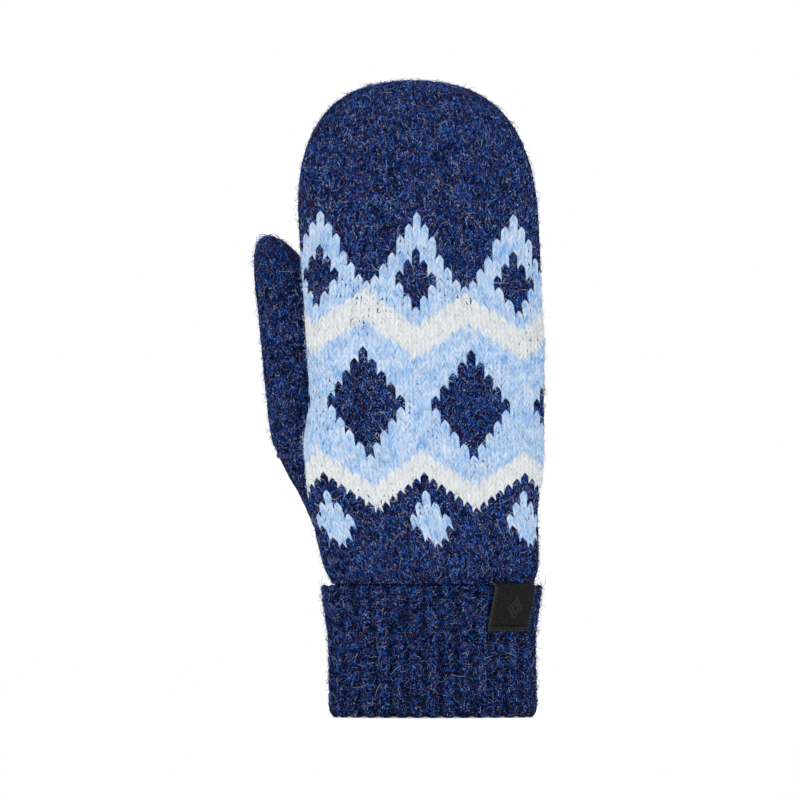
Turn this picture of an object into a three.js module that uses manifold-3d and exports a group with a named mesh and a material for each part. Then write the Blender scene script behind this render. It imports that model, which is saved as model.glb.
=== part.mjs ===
// A lined knitted mitten for a right hand, standing on its turned-up cuff with the fingertips up.
// Millimetres, +Z up to the fingertips, the back of the hand towards -Y, the thumb towards -X.
// The knit and its lining are shells with oval sections stacked along Z.
// The thumb turns about THUMB_PIVOT, so its pieces end on spheres round that point.
import * as THREE from 'three';
import { mergeVertices } from 'three/addons/utils/BufferGeometryUtils.js';
import Module from 'manifold-3d';

const wasm = await Module();
wasm.setup();

// Driving dimensions
const HAND_TOP = 270; // the fingertips, above the surface that the cuff stands on
const HAND_SHOULDER = 205; // where the rounded top begins
const HAND_DOME = 2.6; // exponent of the rounded top's outline, where 2 is an ellipse
const THUMB_TOP = 204.5;
const THUMB_SHOULDER = 176;
const THUMB_DOME = 2;
const FLATNESS = 2.4; // exponent of the oval sections of the hand and the cuff
const MIDPLANE_Y = -5.6; // the plane halfway between palm and back
const CENTRING_SHIFT = 0.43; // along X, so that the whole outline is centred on the origin
const KNIT_WALL = 2.8;
const LINING_WALL = 2.2;
const CLEARANCE = 0.3; // between neighbouring pieces
const CUFF_WALL = 3.2;
const CUFF_TOP = 56.2; // top edge of the turned-up layer
const FOLD_HEIGHT = 6; // the foot of the fold, which joins both layers of the cuff
const WRIST = 56.85; // where the cuff's rib ends and the patterned hand begins
const LINING_BOTTOM = 50.2;
const OVERCUT = 5; // how far a cavity's cutter runs past the opening that it makes
const AROUND = 32; // facets round a section of the hand or the cuff
const THUMB_AROUND = 18;
const HAND_DOME_STEPS = 7; // rings of facets in the rounded tops
const THUMB_DOME_STEPS = 5;
const THUMB_PIVOT = [-31.2, 7.2, 96];
const PIVOT_SPHERE = 17; // everything on the hand's side of the thumb joint is inside it
const SEAM_DEPTH = 1.4; // of the sewn ring between the hand and the thumb

// Heights of the rings of facets, the same on every layer so that the layers stay apart
const HAND_HEIGHTS = [6.3, 44, 50, 54, 57, 60, 64, 76, 90, 104, 118, 134, 178, HAND_SHOULDER];
const THUMB_HEIGHTS = [76, 88, 96, 104, 111, 118, 135, THUMB_SHOULDER];
const THUMB_ROOT = 62; // the lowest height of the thumb's gusset, inside the hand

// [height, centre X, half width, half thickness] of the knit, from the fold up to the shoulder
const HAND_SECTIONS = [
  [5, 14, 40.8, 15.2],
  [44, 13.8, 40.9, 15.3],
  [52, 13.9, 41.6, 15.5],
  [57, 14, 42.8, 15.8],
  [64, 13.2, 45.4, 16.3],
  [76, 11.7, 46.9, 16.8],
  [90, 10.1, 48.3, 17.1],
  [104, 10.3, 50.2, 17.3],
  [118, 10.2, 50.8, 17.4],
  [134, 11.3, 49.6, 17.5],
  [158, 10.8, 50.3, 17.6],
  [180, 9.6, 50.4, 17.6],
  [205, 8.2, 50.8, 17.5],
  [230, 6.9, 51, 17.4],
  [270, 5.6, 51, 17.4],
];
// The same for the turned-up layer, which flares towards its top edge
const CUFF_SECTIONS = [
  [0, 14, 44.6, 19.2],
  [12, 13.9, 44.4, 19.1],
  [34, 13.5, 44.5, 19.2],
  [48, 13.4, 46.3, 20.3],
  [57, 13.4, 47.6, 21.2],
];
// [height, centre X, centre Y from the midplane, half width, half thickness] of the thumb
const THUMB_SECTIONS = [
  [62, -19, 4, 8.5, 7],
  [80, -25.5, 8, 10.6, 9.5],
  [94, -30.5, 12.2, 12, 11],
  [104, -35, 15.4, 13.2, 11.8],
  [118, -40.5, 18.6, 13.9, 12],
  [135, -43, 20, 13.8, 12],
  [158, -45.5, 20.3, 13.6, 12],
  [176, -47.3, 20.3, 13.6, 12],
  [190, -50.2, 20, 13.6, 12],
  [204.5, -56, 19.6, 13.6, 12],
];
// The label tab: where it lies round the cuff (degrees from +X towards the back of the hand)
const LABEL_ANGLE = 43.4;
const LABEL_HALF_ANGLE = 16.6;
const LABEL_LEAN = 2.2; // degrees that its lower end is turned back by
const LABEL_THICK = 0.8;
const LABEL_OUTER_LEG = 18.6;
const LABEL_INNER_LEG = 5;
const EDGE_RADIUS = 1.6; // of the cuff's rounded top edge, which the label folds over
const STITCH_HEIGHT = 1.6; // of the label's stitches above its lower edge
const THREAD_THICK = 0.5;

// Smooth values between the rows of a table of sections: a cubic through its points
function sectionAt(table, height) {
  const last = table.length - 1;
  const z = THREE.MathUtils.clamp(height, table[0][0], table[last][0]);
  let i = 0;
  while (i < last - 1 && z > table[i + 1][0]) i += 1;
  const span = table[i + 1][0] - table[i][0];
  const t = (z - table[i][0]) / span;
  const slope = (row, column) => {
    const before = table[Math.max(row - 1, 0)];
    const after = table[Math.min(row + 1, last)];
    return (after[column] - before[column]) / (after[0] - before[0]);
  };
  return table[i].slice(1).map((start, column) => {
    const end = table[i + 1][column + 1];
    const m0 = slope(i, column + 1) * span;
    const m1 = slope(i + 1, column + 1) * span;
    const t2 = t * t;
    const t3 = t2 * t;
    return (2 * t3 - 3 * t2 + 1) * start + (t3 - 2 * t2 + t) * m0
      + (3 * t2 - 2 * t3) * end + (t3 - t2) * m1;
  });
}

// The point of a unit oval in the direction (x, y), with the given exponent
function oval(x, y, exponent) {
  const power = 2 / exponent;
  return [Math.sign(x) * Math.abs(x) ** power, Math.sign(y) * Math.abs(y) ** power];
}

// A point of the hand's oval at a height, grown by a distance (negative is inwards)
function handPoint(x, y, z, grow, share) {
  const [centre, width, thick] = sectionAt(HAND_SECTIONS, z);
  const [ox, oy] = oval(x, y, FLATNESS);
  return [centre + (width + grow) * share * ox, MIDPLANE_Y + (thick + grow) * share * oy, z];
}

function cuffPoint(x, y, z, grow) {
  const [centre, width, thick] = sectionAt(CUFF_SECTIONS, z);
  const [ox, oy] = oval(x, y, FLATNESS);
  return [centre + (width + grow) * ox, MIDPLANE_Y + (thick + grow) * oy, z];
}

function thumbPoint(x, y, z, grow, share) {
  const [centreX, centreY, width, thick] = sectionAt(THUMB_SECTIONS, z);
  return [
    centreX + (width + grow) * share * x,
    MIDPLANE_Y + centreY + (thick + grow) * share * y,
    z,
  ];
}

// Moves every vertex of a geometry to place(x, y, z)
function warp(geometry, place) {
  const position = geometry.attributes.position;
  for (let i = 0; i < position.count; i += 1) {
    position.setXYZ(i, ...place(position.getX(i), position.getY(i), position.getZ(i)));
  }
  return geometry;
}

// A three.js geometry as a solid: shared corners, no empty triangles, faces outwards
function solidOf(geometry) {
  const bare = geometry.clone();
  bare.deleteAttribute('normal');
  bare.deleteAttribute('uv');
  const merged = mergeVertices(bare, 1e-4);
  const vertProperties = Float32Array.from(merged.attributes.position.array);
  const corner = (i) => new THREE.Vector3().fromArray(vertProperties, 3 * i);
  const faces = [];
  let volume = 0;
  for (let i = 0; i < merged.index.count; i += 3) {
    const [a, b, c] = [0, 1, 2].map((k) => merged.index.getX(i + k));
    if (a !== b && b !== c && c !== a) {
      faces.push([a, b, c]);
      volume += corner(a).dot(corner(b).cross(corner(c)));
    }
  }
  const outwards = ([a, b, c]) => (volume > 0 ? [a, b, c] : [a, c, b]);
  const triVerts = Uint32Array.from(faces.flatMap(outwards));
  return new wasm.Manifold(new wasm.Mesh({ numProp: 3, vertProperties, triVerts }));
}

function geometryOf(solid) {
  const { vertProperties, triVerts } = solid.getMesh();
  const geometry = new THREE.BufferGeometry();
  geometry.setAttribute('position', new THREE.BufferAttribute(Float32Array.from(vertProperties), 3));
  geometry.setIndex(new THREE.BufferAttribute(Uint32Array.from(triVerts), 1));
  return geometry;
}

// A solid turned from a closed outline of [radius, height], then moved by place(x, y, z, radius)
function turned(outline, around, place) {
  const points = outline.map(([radius, height]) => new THREE.Vector2(radius, height));
  const geometry = new THREE.LatheGeometry(points, around).rotateX(Math.PI / 2);
  return solidOf(warp(geometry, (x, y, z) => {
    const radius = Math.hypot(x, y);
    return radius < 1e-6 ? place(1, 0, z, 0) : place(x / radius, y / radius, z, radius);
  }));
}

// Outline of a filled bag: sides through the given heights, then a rounded top with an exponent
function bagOutline(bottom, heights, top, exponent, domeSteps) {
  const sides = [bottom, ...heights.filter((height) => height > bottom + 0.5)];
  const shoulder = sides[sides.length - 1];
  const outline = [[0, bottom], ...sides.map((height) => [1, height])];
  for (let i = 1; i < domeSteps; i += 1) {
    const angle = Math.PI / 2 * i / domeSteps;
    const rise = Math.sin(angle) ** (2 / exponent);
    outline.push([Math.cos(angle) ** (2 / exponent), shoulder + (top - shoulder) * rise]);
  }
  outline.push([0, top]);
  return outline;
}

// The hand filled solid from a height to its top, grown by a distance
function handSolid(bottom, grow) {
  const outline = bagOutline(bottom, HAND_HEIGHTS, HAND_TOP + grow, HAND_DOME, HAND_DOME_STEPS);
  return turned(outline, AROUND, (x, y, z, share) => handPoint(x, y, z, grow, share));
}

function thumbSolid(grow) {
  const top = THUMB_TOP + grow;
  const outline = bagOutline(THUMB_ROOT - grow, THUMB_HEIGHTS, top, THUMB_DOME, THUMB_DOME_STEPS);
  return turned(outline, THUMB_AROUND, (x, y, z, share) => thumbPoint(x, y, z, grow, share));
}

// A ring whose outline is given as [distance inside the surface, height]
function ring(outline, around, surfacePoint) {
  const nominal = 100;
  const closed = [...outline, outline[0]].map(([depth, z]) => [nominal - depth, z]);
  return turned(closed, around, (x, y, z, radius) => surfacePoint(x, y, z, radius - nominal));
}

function block(low, high) {
  const size = high.map((value, i) => value - low[i]);
  const geometry = new THREE.BoxGeometry(...size);
  return solidOf(geometry.translate(...low.map((value, i) => value + size[i] / 2)));
}

function pivotSphere(radius) {
  return solidOf(new THREE.SphereGeometry(radius, 24, 14).translate(...THUMB_PIVOT));
}

// Everything below a height, to cut a piece off there
function belowHeight(height) {
  return block([-BIG, -BIG, -BIG], [BIG, BIG, height]);
}

const BIG = 400; // more than any size of the mitten
const belowPivot = belowHeight(THUMB_PIVOT[2]);
const handSide = pivotSphere(PIVOT_SPHERE).add(belowPivot);
const handSideHole = pivotSphere(PIVOT_SPHERE + 1).add(belowPivot); // deeper, to cut right through
const handAndSeam = pivotSphere(PIVOT_SPHERE + SEAM_DEPTH + 2 * CLEARANCE).add(belowPivot);
const handWithGap = handSolid(WRIST, CLEARANCE + 0.1); // the thumb's pieces stay out of it
const liningGap = KNIT_WALL + CLEARANCE;
const cavityDepth = liningGap + LINING_WALL;

// Knitted hand: a bag with a gusset that grows out of the palm side and opens into the thumb
function handShell() {
  const bottom = WRIST + CLEARANCE / 2;
  const gusset = thumbSolid(0).intersect(handSide).subtract(belowHeight(bottom));
  return handSolid(bottom, 0).add(gusset)
    .subtract(handSolid(WRIST - OVERCUT, -KNIT_WALL))
    .subtract(thumbSolid(-KNIT_WALL).intersect(handSideHole));
}

// Knitted thumb: the rest of the same bag, clear of the seam ring and of the hand
function thumbShell() {
  return thumbSolid(0).subtract(thumbSolid(-KNIT_WALL))
    .subtract(handAndSeam).subtract(handWithGap);
}

// The sewn ring that joins them
function thumbJoinSeam() {
  const band = thumbSolid(0).subtract(thumbSolid(-KNIT_WALL));
  return band.intersect(pivotSphere(PIVOT_SPHERE + SEAM_DEPTH + CLEARANCE))
    .subtract(pivotSphere(PIVOT_SPHERE + CLEARANCE)).subtract(belowPivot).subtract(handWithGap);
}

// Fleece lining of the hand, cut as a back panel and a palm panel that meet at the midplane
function handLining(isBack) {
  const gusset = thumbSolid(-liningGap).intersect(handSide);
  const whole = handSolid(LINING_BOTTOM, -liningGap).add(gusset)
    .subtract(handSolid(LINING_BOTTOM - OVERCUT, -cavityDepth))
    .subtract(thumbSolid(-cavityDepth).intersect(handSideHole));
  const half = CLEARANCE / 2;
  return isBack
    ? whole.intersect(block([-BIG, -BIG, -BIG], [BIG, MIDPLANE_Y - half, BIG]))
    : whole.intersect(block([-BIG, MIDPLANE_Y + half, -BIG], [BIG, BIG, BIG]));
}

function thumbLining() {
  return thumbSolid(-liningGap).subtract(thumbSolid(-cavityDepth))
    .subtract(handAndSeam).subtract(handWithGap);
}

// Inner layer of the ribbed cuff, from the fold up to the wrist
function cuffInnerLayer() {
  const bottom = FOLD_HEIGHT + CLEARANCE;
  const top = WRIST - CLEARANCE / 2;
  const heights = [bottom, ...HAND_HEIGHTS.filter((z) => z > bottom + 0.5 && z < top - 0.5), top];
  const outline = [
    ...heights.map((z) => [0, z]),
    ...heights.reverse().map((z) => [KNIT_WALL, z]),
  ];
  return ring(outline, AROUND, (x, y, z, grow) => handPoint(x, y, z, grow, 1));
}

// Turned-up outer layer with the fold at its foot, which carries the mitten where it stands
function cuffTurnUp() {
  const outline = [
    [2.6, 0], [0.7, 1.2], [0, 4], [0, 34], [0, 44], [0, CUFF_TOP - EDGE_RADIUS],
    [0.5, CUFF_TOP - 0.5], [EDGE_RADIUS, CUFF_TOP], [CUFF_WALL - 0.5, CUFF_TOP - 0.5],
    [CUFF_WALL, CUFF_TOP - EDGE_RADIUS], [CUFF_WALL, 44], [CUFF_WALL, 34],
    [CUFF_WALL, FOLD_HEIGHT], [6.4, FOLD_HEIGHT], [6.4, 1.6], [4.8, 0],
  ];
  return ring(outline, AROUND, cuffPoint);
}

// Point of the label at u across (-1 to 1), lift off the cuff and distance along from its lower edge
function labelPoint(u, lift, along) {
  const arc = Math.PI * (EDGE_RADIUS + LABEL_THICK / 2);
  const legTop = CUFF_TOP - EDGE_RADIUS;
  let grow = lift;
  let z = legTop - (LABEL_OUTER_LEG - along);
  if (along > LABEL_OUTER_LEG + arc) {
    grow = -2 * EDGE_RADIUS - lift;
    z = legTop - (along - LABEL_OUTER_LEG - arc);
  } else if (along > LABEL_OUTER_LEG) {
    const bend = Math.PI * (along - LABEL_OUTER_LEG) / arc;
    grow = (EDGE_RADIUS + lift) * Math.cos(bend) - EDGE_RADIUS;
    z = legTop + (EDGE_RADIUS + lift) * Math.sin(bend);
  }
  const lean = LABEL_LEAN * Math.max(legTop - z, 0) / LABEL_OUTER_LEG;
  const angle = -THREE.MathUtils.degToRad(LABEL_ANGLE + lean + LABEL_HALF_ANGLE * u);
  const [x, y] = cuffPoint(Math.cos(angle), Math.sin(angle), z, grow);
  return [x, y, z];
}

function labelTab() {
  const arc = Math.PI * (EDGE_RADIUS + LABEL_THICK / 2);
  const length = LABEL_OUTER_LEG + arc + LABEL_INNER_LEG;
  const strip = new THREE.BoxGeometry(2, LABEL_THICK, length, 6, 1, 16);
  const low = CLEARANCE + LABEL_THICK / 2;
  return solidOf(warp(strip, (u, lift, along) => labelPoint(u, low + lift, along + length / 2)));
}

// One line of thread across the tab's outer leg, near its lower edge
function labelStitching() {
  const thread = new THREE.BoxGeometry(1.84, THREAD_THICK, THREAD_THICK, 6, 1, 1);
  const low = 2 * CLEARANCE + LABEL_THICK + THREAD_THICK / 2;
  return solidOf(warp(thread, (u, lift, along) => labelPoint(u, low + lift, STITCH_HEIGHT + along)));
}

// Thread ring that sews the lining's lower edge to the inside of the cuff
function liningJoinSeam() {
  const [near, far] = [liningGap, liningGap + 1.3];
  const [low, high] = [LINING_BOTTOM - 2, LINING_BOTTOM - 0.4];
  const outline = [[near, low], [near, high], [far, high], [far, low]];
  return ring(outline, AROUND, (x, y, z, grow) => handPoint(x, y, z, grow, 1));
}

// Blank woven care label hanging from that seam, inside the mouth on the little-finger side
function careLabel() {
  const [thick, width, length] = [0.4, 12, 24];
  const top = LINING_BOTTOM - 2.2;
  const strip = new THREE.BoxGeometry(thick, width, length, 1, 3, 4);
  return solidOf(warp(strip.translate(0, 0, top - length / 2), (x, y, z) => {
    const [centre, halfWidth] = sectionAt(HAND_SECTIONS, z);
    const inset = KNIT_WALL + 2.4 + (2 * y / width) ** 2 * 1.2;
    return [centre + halfWidth - inset + x, MIDPLANE_Y + y, z];
  }));
}

const NAVY = { color: 0x27376a, roughness: 0.95 };
const FLEECE = { color: 0x20242c, roughness: 1 };
const THREAD = { color: 0x141414, roughness: 0.7 };
const mitten = new THREE.Group();
mitten.position.x = CENTRING_SHIFT;

function add(name, solid, finish) {
  const material = new THREE.MeshStandardMaterial({ ...finish, metalness: 0 });
  const mesh = new THREE.Mesh(geometryOf(solid), material);
  mesh.name = name;
  mitten.add(mesh);
}

add('cuff_turn_up', cuffTurnUp(), NAVY);
add('label_tab', labelTab(), { color: 0x1c1c1c, roughness: 0.6 });
add('label_stitching', labelStitching(), THREAD);
add('cuff_inner_layer', cuffInnerLayer(), NAVY);
add('hand_shell', handShell(), NAVY);
add('lining_back_panel', handLining(true), FLEECE);
add('lining_palm_panel', handLining(false), FLEECE);
add('lining_join_seam', liningJoinSeam(), THREAD);
add('care_label', careLabel(), { color: 0xe8e8e4, roughness: 0.8 });
add('thumb_join_seam', thumbJoinSeam(), NAVY);
add('thumb_shell', thumbShell(), NAVY);
add('thumb_lining', thumbLining(), FLEECE);

export default mitten;
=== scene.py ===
"""The looks of a lined knitted mitten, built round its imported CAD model.

Lengths are in millimetres until a mesh is made, +Z is up to the fingertips, and the back of the
hand, with the thumb at its left, faces -Y. Knitted pieces are grids of wales (columns of stitches)
and courses (rows of stitches), whose vertices follow each stitch's two legs.
"""

import math

import bmesh
import bpy
import numpy as np
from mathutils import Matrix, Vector, noise


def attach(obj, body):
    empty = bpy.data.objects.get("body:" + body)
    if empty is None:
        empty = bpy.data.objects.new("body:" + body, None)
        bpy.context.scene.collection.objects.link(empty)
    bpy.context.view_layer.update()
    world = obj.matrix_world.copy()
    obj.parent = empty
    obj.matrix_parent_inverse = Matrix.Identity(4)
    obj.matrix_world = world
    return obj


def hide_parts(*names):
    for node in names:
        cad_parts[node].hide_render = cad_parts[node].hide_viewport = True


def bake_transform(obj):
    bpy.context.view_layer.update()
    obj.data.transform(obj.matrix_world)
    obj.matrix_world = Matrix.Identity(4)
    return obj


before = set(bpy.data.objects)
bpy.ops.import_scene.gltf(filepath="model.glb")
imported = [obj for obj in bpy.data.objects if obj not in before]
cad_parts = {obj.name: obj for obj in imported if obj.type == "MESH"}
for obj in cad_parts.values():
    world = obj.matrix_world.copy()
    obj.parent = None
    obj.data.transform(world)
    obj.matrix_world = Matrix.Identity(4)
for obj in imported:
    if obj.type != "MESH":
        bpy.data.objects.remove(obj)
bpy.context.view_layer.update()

MM = 0.001

# ---- Driving dimensions, the same as the CAD model's ----
HAND_TOP = 270
HAND_SHOULDER = 205  # where the rounded top begins
HAND_DOME = 2.6  # exponents of the outlines of the rounded tops
THUMB_TOP = 204.5
THUMB_SHOULDER = 176
THUMB_DOME = 2
FLATNESS = 2.4  # exponent of the oval sections of the hand and the cuff
MIDPLANE_Y = -5.6
CENTRING_SHIFT = 0.43
KNIT_WALL = 2.8
CUFF_WALL = 3.2
CUFF_TOP = 56.2
EDGE_RADIUS = 1.6  # of the cuff's top edge
FOLD_HEIGHT = 6  # of the fold that joins both layers of the cuff
CLEARANCE = 0.3  # between neighbouring pieces
SEAM_LEVEL = 49  # of the thread that sews the lining to the inside of the cuff
CARE_TOP = 48  # of the care label in that seam
CARE_SIZE = (12, 24)
CARE_THICK = 0.4
CARE_GAP = 2.4  # from the knit's inside to the care label's middle

# The label tab, folded over the cuff's top edge: its place round the cuff in degrees from +X
# towards the back of the hand, then millimetres
LABEL_ANGLE = 43.4
LABEL_HALF_ANGLE = 16.6
LABEL_LEAN = 3  # degrees further round at its lower edge, a little more than the CAD solid
LABEL_THICK = 0.8
LABEL_OUTER_LEG = 18.6
LABEL_INNER_LEG = 5
LABEL_START = 0.9  # of the visible tab, above the lower edge of its solid
LABEL_HALF = 9.8  # from the tab's middle to its side
LABEL_HEM = 2.4  # height of the turned lower hem
LOZENGE_HEIGHT = 10.6  # of the pressed lozenge's middle along the tab
LOZENGE_SIZE = (3.2, 4.1)  # half its width and half its length
STITCH_HEIGHT = 1.6
THREAD_THICK = 0.5

# [height, centre X, half width, half thickness]
HAND_SECTIONS = [
    [5, 14, 40.8, 15.2],
    [44, 13.8, 40.9, 15.3],
    [52, 13.9, 41.6, 15.5],
    [57, 14, 42.8, 15.8],
    [64, 13.2, 45.4, 16.3],
    [76, 11.7, 46.9, 16.8],
    [90, 10.1, 48.3, 17.1],
    [104, 10.3, 50.2, 17.3],
    [118, 10.2, 50.8, 17.4],
    [134, 11.3, 49.6, 17.5],
    [158, 10.8, 50.3, 17.6],
    [180, 9.6, 50.4, 17.6],
    [205, 8.2, 50.8, 17.5],
    [230, 6.9, 51, 17.4],
    [270, 5.6, 51, 17.4],
]
CUFF_SECTIONS = [
    [0, 14, 44.6, 19.2],
    [12, 13.9, 44.4, 19.1],
    [34, 13.5, 44.5, 19.2],
    [48, 13.4, 46.3, 20.3],
    [57, 13.4, 47.6, 21.2],
]
# [height, centre X, centre Y from the midplane, half width, half thickness]
THUMB_SECTIONS = [
    [62, -19, 4, 8.5, 7],
    [80, -25.5, 8, 10.6, 9.5],
    [94, -30.5, 12.2, 12, 11],
    [104, -35, 15.4, 13.2, 11.8],
    [118, -40.5, 18.6, 13.9, 12],
    [135, -43, 20, 13.8, 12],
    [158, -45.5, 20.3, 13.6, 12],
    [176, -47.3, 20.3, 13.6, 12],
    [190, -50.2, 20, 13.6, 12],
    [204.5, -56, 19.6, 13.6, 12],
]

# Gauge of the knit
WALES = 60  # round the hand
THUMB_WALES = 21
COURSE = 2.5  # height of a stitch
WALE = 3.85  # usual width of a stitch
FIRST_COURSE = 56.6  # height at which the patterned hand begins
HAND_COURSES = 88
HALF_RIBS = 60  # round the cuff
THUMB_ROOT = 64
SEAM_HEIGHT = 111  # where the thumb is picked up from its gusset
PER_WALE = 8  # vertices across a stitch
PER_COURSE = 5  # and along it
# How the knit lies on the hand: [height, shift of the pattern's middle line in X, share by which
# the wales of the back of the hand are crowded, rise of the courses towards the thumb]
LAY_OF_THE_KNIT = [
    [57, 6, 0.06, 0],
    [71, 4.75, 0.06, 0],
    [89, 1.5, 0.07, 0],
    [109, -0.6, 0.06, 0.4],
    [134, -3.7, 0.02, 1.3],
    [158, -3.7, 0.01, 1.3],
    [188, -2.6, 0.12, 2],
    [216, -0.5, 0.14, 0.8],
    [270, 0, 0.1, 0],
]


# ---- Sections and surfaces ----
def section_at(table, heights):
    """Columns of a table of sections at each height: a smooth cubic through its rows."""
    rows = np.asarray(table, float)
    heights = np.asarray(heights, float)
    z = np.clip(heights.ravel(), rows[0, 0], rows[-1, 0])
    last = len(rows) - 1
    i = np.clip(np.searchsorted(rows[:, 0], z) - 1, 0, last - 1)
    span = rows[i + 1, 0] - rows[i, 0]
    t = (z - rows[i, 0]) / span

    def slope(row):
        before, after = rows[np.maximum(row - 1, 0)], rows[np.minimum(row + 1, last)]
        return ((after - before) / (after[..., :1] - before[..., :1]))[..., 1:].T

    m0, m1 = slope(i) * span, slope(i + 1) * span
    start, end = rows[i, 1:].T, rows[i + 1, 1:].T
    t2, t3 = t * t, t * t * t
    values = (
        (2 * t3 - 3 * t2 + 1) * start + (t3 - 2 * t2 + t) * m0
        + (3 * t2 - 2 * t3) * end + (t3 - t2) * m1
    )
    return values.reshape(-1, *heights.shape)


def oval_points(width, thick, exponent, shares):
    """Unit oval's X and Y at shares of its perimeter, from the back of the hand towards +X."""
    angle = np.linspace(0, 2 * np.pi, 1441)
    x, y = np.sin(angle), -np.cos(angle)
    x = np.sign(x) * np.abs(x) ** (2 / exponent)
    y = np.sign(y) * np.abs(y) ** (2 / exponent)
    steps = np.hypot(np.diff(x * width), np.diff(y * thick))
    length = np.concatenate([[0], np.cumsum(steps)]) / steps.sum()
    shares = shares % 1
    return np.interp(shares, length, x), np.interp(shares, length, y)


def gather(across, share):
    """Moves a unit oval's X outwards as the rounded top closes, so the middle wales stay upright."""
    power, hold = 3, 0.6
    inside = np.clip(across, -0.9999, 0.9999)
    spread = inside / (1 - np.abs(inside) ** power) ** (1 / power) * share ** -hold
    return spread / (1 + np.abs(spread) ** power) ** (1 / power)


def rounded_top(table, shoulder, top, exponent, count):
    """Heights up a rounded top, the share of the width left at each, and how far along each one is."""
    dome = np.linspace(0, np.pi / 2, count)
    share = np.cos(dome) ** (2 / exponent)
    rise = shoulder + (top - shoulder) * np.sin(dome) ** (2 / exponent)
    thick = section_at(table, rise)[-1]
    path = np.concatenate([[0], np.cumsum(np.hypot(np.diff(rise), np.diff(thick * share)))])
    return rise, share, path


def rows_along(along, start, side, rounded):
    """Heights and shares of the width at distances up a straight side and then its rounded top."""
    rise, share, path = rounded
    heights = np.where(along < side, start + along, np.interp(along - side, path, rise))
    return heights, np.where(along < side, 1, np.interp(along - side, path, share))


def hand_grid(rows, columns):
    """Base points of the knitted hand, the share of a wale's usual width there, and the courses' sag."""
    rounded = rounded_top(HAND_SECTIONS, HAND_SHOULDER, HAND_TOP, HAND_DOME, 400)
    side = HAND_SHOULDER - FIRST_COURSE
    along = np.linspace(0, side + rounded[2][-1] * 0.995, rows)
    heights, shares = rows_along(along, FIRST_COURSE, side, rounded)
    points, widths = np.zeros((rows, columns, 3)), np.ones((rows, columns))
    turn = (np.arange(columns) - PER_WALE / 2) / columns
    sag = np.zeros((rows, columns))
    for i, (z, closed) in enumerate(zip(heights, shares)):
        centre, width, thick = section_at(HAND_SECTIONS, z)
        shift, crowd, tilt = section_at(LAY_OF_THE_KNIT, z)
        sag[i] = tilt * np.sin(2 * np.pi * turn)
        around = turn - crowd * np.sin(2 * np.pi * turn) / (2 * np.pi)
        around = around + shift / (WALES * WALE)
        x, y = oval_points(width, thick, FLATNESS, around)
        if closed < 1:
            x = gather(x, closed)
            y = np.sign(y) * (1 - np.abs(x) ** FLATNESS) ** (1 / FLATNESS)
        points[i, :, 0] = centre + width * closed * x
        points[i, :, 1] = MIDPLANE_Y + thick * closed * y
        points[i, :, 2] = z
        ring = np.vstack([points[i], points[i, :1]])
        widths[i] = np.linalg.norm(np.diff(ring, axis=0), axis=1) * columns / (WALES * WALE)
    return points, np.clip(widths, 0, 1), sag


def thumb_top():
    return rounded_top(THUMB_SECTIONS, THUMB_SHOULDER, THUMB_TOP, THUMB_DOME, 200)


def thumb_grid(rows, columns, low, high):
    """Base points of the thumb's tube from one distance above its root to another."""
    rounded = thumb_top()
    side = THUMB_SHOULDER - THUMB_ROOT
    top = side + rounded[2][-1] * 0.99
    heights, shares = rows_along(np.linspace(low, min(high, top), rows), THUMB_ROOT, side, rounded)
    points, widths = np.zeros((rows, columns, 3)), np.ones((rows, columns))
    turn = np.arange(columns) / columns
    for i, (z, closed) in enumerate(zip(heights, shares)):
        centre_x, centre_y, width, thick = section_at(THUMB_SECTIONS, z)
        x, y = oval_points(width, thick, 2, turn)
        points[i, :, 0] = centre_x + width * closed * x
        points[i, :, 1] = MIDPLANE_Y + centre_y + thick * closed * y
        points[i, :, 2] = z
        widths[i] = closed
    return points, widths, np.zeros((rows, columns))


def thumb_courses():
    """How many courses the thumb has below its seam, and in all."""
    length = THUMB_SHOULDER - THUMB_ROOT + thumb_top()[2][-1]
    return round((SEAM_HEIGHT - THUMB_ROOT) / COURSE), round(length / COURSE)


def normals_of(points):
    """Outward directions on a grid that closes round its columns."""
    around = np.roll(points, -1, 1) - np.roll(points, 1, 1)
    upward = np.gradient(points, axis=0)
    normal = np.cross(around, upward)
    return normal / np.maximum(np.linalg.norm(normal, axis=2, keepdims=True), 1e-9)


# ---- Stitches ----
SLANT = 0.85  # how far, in courses, a stitch's legs reach down from its middle
PALE_RELIEF = 0.95  # of a stitch's legs above the gaps between wales, in millimetres
NAVY_RELIEF = 0.6  # the same where the yarn is more felted


def across_wale(columns):
    """-1 to 1 across each wale, at each column of vertices."""
    return (np.arange(columns) % PER_WALE) / (PER_WALE / 2) - 1


def stitch_drop(sag):
    """How many rows each vertex hangs down by: a stitch's legs, and the sag of its course in mm."""
    rows, columns = sag.shape
    legs = SLANT * np.abs(across_wale(columns)) ** 1.25
    from_end = np.minimum(np.arange(rows), rows - 1 - np.arange(rows))
    ease = np.clip(from_end / (2 * PER_COURSE), 0, 1)[:, None]
    return PER_COURSE * (legs[None, :] + sag / COURSE) * ease


def sheared(grid, drop):
    """A grid with each vertex taken from drop rows further down."""
    rows, columns = grid.shape[:2]
    place = np.arange(rows)[:, None] - drop
    low = np.clip(place.astype(int), 0, rows - 2)
    part = np.clip(place - low, 0, 1)
    part = part[..., None] if grid.ndim == 3 else part
    column = np.arange(columns)[None, :]
    return grid[low, column] * (1 - part) + grid[low + 1, column] * part


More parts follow.
